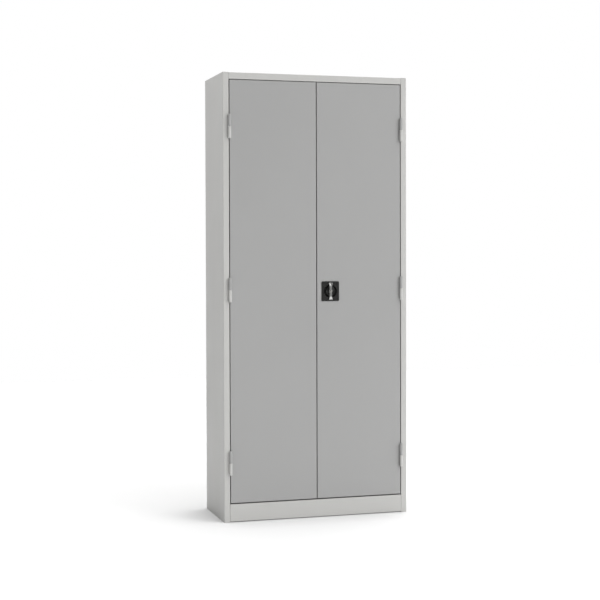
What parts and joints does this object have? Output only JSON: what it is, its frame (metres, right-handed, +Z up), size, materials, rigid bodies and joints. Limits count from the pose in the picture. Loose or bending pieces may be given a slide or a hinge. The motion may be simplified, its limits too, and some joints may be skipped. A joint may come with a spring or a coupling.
{
  "type": "steel filing cupboard",
  "caption": "Tall folded steel cupboard with two inset hinged leaves, a flush turning bar lock with rods, loose shelves on hook-in clips and a plinth.",
  "frame": {"origin": "centre of the whole part's footprint, on the floor, hinge barrels included", "axes": "+X to the right seen from the front, +Y to the back, +Z up; the leaves face -Y"},
  "size_m": [0.8, 0.3434, 1.85],
  "materials": {
    "carcass_paint": "light grey powder coat, satin, very fine texture",
    "door_paint": "mid grey powder coat, satin, very fine texture",
    "lock_black": "black moulded plastic, semi-gloss",
    "chrome": "bright chrome on a casting",
    "zinc_plate": "bright zinc plate on steel",
    "nylon": "natural nylon"
  },
  "bodies": {
    "carcass": {"side_panel_left": "carcass_paint", "side_panel_right": "carcass_paint", "top_panel": "carcass_paint", "floor_panel": "carcass_paint", "plinth": "carcass_paint", "back_panel": "carcass_paint", "shelf_upright_left_front": "carcass_paint", "shelf_upright_left_rear": "carcass_paint", "shelf_upright_right_front": "carcass_paint", "shelf_upright_right_rear": "carcass_paint", "shelf_1": "carcass_paint", "shelf_2": "carcass_paint", "shelf_3": "carcass_paint", "shelf_4": "carcass_paint", "shelf_clip_1_left_front": "zinc_plate", "shelf_clip_1_left_rear": "zinc_plate", "shelf_clip_1_right_front": "zinc_plate", "shelf_clip_1_right_rear": "zinc_plate", "shelf_clip_2_left_front": "zinc_plate", "shelf_clip_2_left_rear": "zinc_plate", "shelf_clip_2_right_front": "zinc_plate", "shelf_clip_2_right_rear": "zinc_plate", "shelf_clip_3_left_front": "zinc_plate", "shelf_clip_3_left_rear": "zinc_plate", "shelf_clip_3_right_front": "zinc_plate", "shelf_clip_3_right_rear": "zinc_plate", "shelf_clip_4_left_front": "zinc_plate", "shelf_clip_4_left_rear": "zinc_plate", "shelf_clip_4_right_front": "zinc_plate", "shelf_clip_4_right_rear": "zinc_plate", "hinge_post_left_bottom": "carcass_paint", "hinge_post_left_middle": "carcass_paint", "hinge_post_left_top": "carcass_paint", "hinge_post_right_bottom": "carcass_paint", "hinge_post_right_middle": "carcass_paint", "hinge_post_right_top": "carcass_paint"},
    "left_door": {"door_left": "door_paint", "door_stiffener_left": "door_paint", "hinge_barrel_left_bottom": "door_paint", "hinge_barrel_left_middle": "door_paint", "hinge_barrel_left_top": "door_paint", "bolt_housing_upper": "nylon", "bolt_housing_lower": "nylon"},
    "right_door": {"door_right": "door_paint", "door_stiffener_right": "door_paint", "hinge_barrel_right_bottom": "door_paint", "hinge_barrel_right_middle": "door_paint", "hinge_barrel_right_top": "door_paint", "lock_plate": "lock_black", "lock_case": "zinc_plate", "rod_guide_upper": "nylon", "rod_guide_lower": "nylon"},
    "handle": {"lock_handle": "chrome", "lock_rotor": "lock_black", "lock_cam": "zinc_plate"},
    "key_plug": {"lock_key_plug": "chrome"},
    "upper_rod": {"lock_rod_upper": "zinc_plate"},
    "lower_rod": {"lock_rod_lower": "zinc_plate"},
    "upper_bolt": {"bolt_upper": "zinc_plate"},
    "lower_bolt": {"bolt_lower": "zinc_plate"}
  },
  "joints": [
    {"name": "left_door_hinge", "type": "hinge", "parent": "carcass", "child": "left_door", "pos_m": [-0.3735, -0.16515, 0.0795], "axis": [0, 0, -1], "range_deg": [0, 180]},
    {"name": "right_door_hinge", "type": "hinge", "parent": "carcass", "child": "right_door", "pos_m": [0.3735, -0.16515, 0.0795], "axis": [0, 0, 1], "range_deg": [0, 180]},
    {"name": "handle_turn", "type": "hinge", "parent": "right_door", "child": "handle", "pos_m": [0.0592, -0.16735, 0.948], "axis": [0, 1, 0], "range_deg": [0, 90]},
    {"name": "key_turn", "type": "hinge", "parent": "handle", "child": "key_plug", "pos_m": [0.0592, -0.16735, 0.948], "axis": [0, 1, 0], "range_deg": [0, 90]},
    {"name": "upper_rod_slide", "type": "slide", "parent": "right_door", "child": "upper_rod", "axis": [0, 0, 1], "range_m": [0, 0.01697]},
    {"name": "lower_rod_slide", "type": "slide", "parent": "right_door", "child": "lower_rod", "axis": [0, 0, -1], "range_m": [0, 0.01697]},
    {"name": "upper_bolt_slide", "type": "slide", "parent": "left_door", "child": "upper_bolt", "axis": [0, 0, 1], "range_m": [0, 0.015]},
    {"name": "lower_bolt_slide", "type": "slide", "parent": "left_door", "child": "lower_bolt", "axis": [0, 0, -1], "range_m": [0, 0.015]}
  ],
  "couplings": [
    {"joint": "handle_turn", "follows": "upper_rod_slide", "rad_per_m": 92.56},
    {"joint": "lower_rod_slide", "follows": "upper_rod_slide", "ratio": 1}
  ]
}
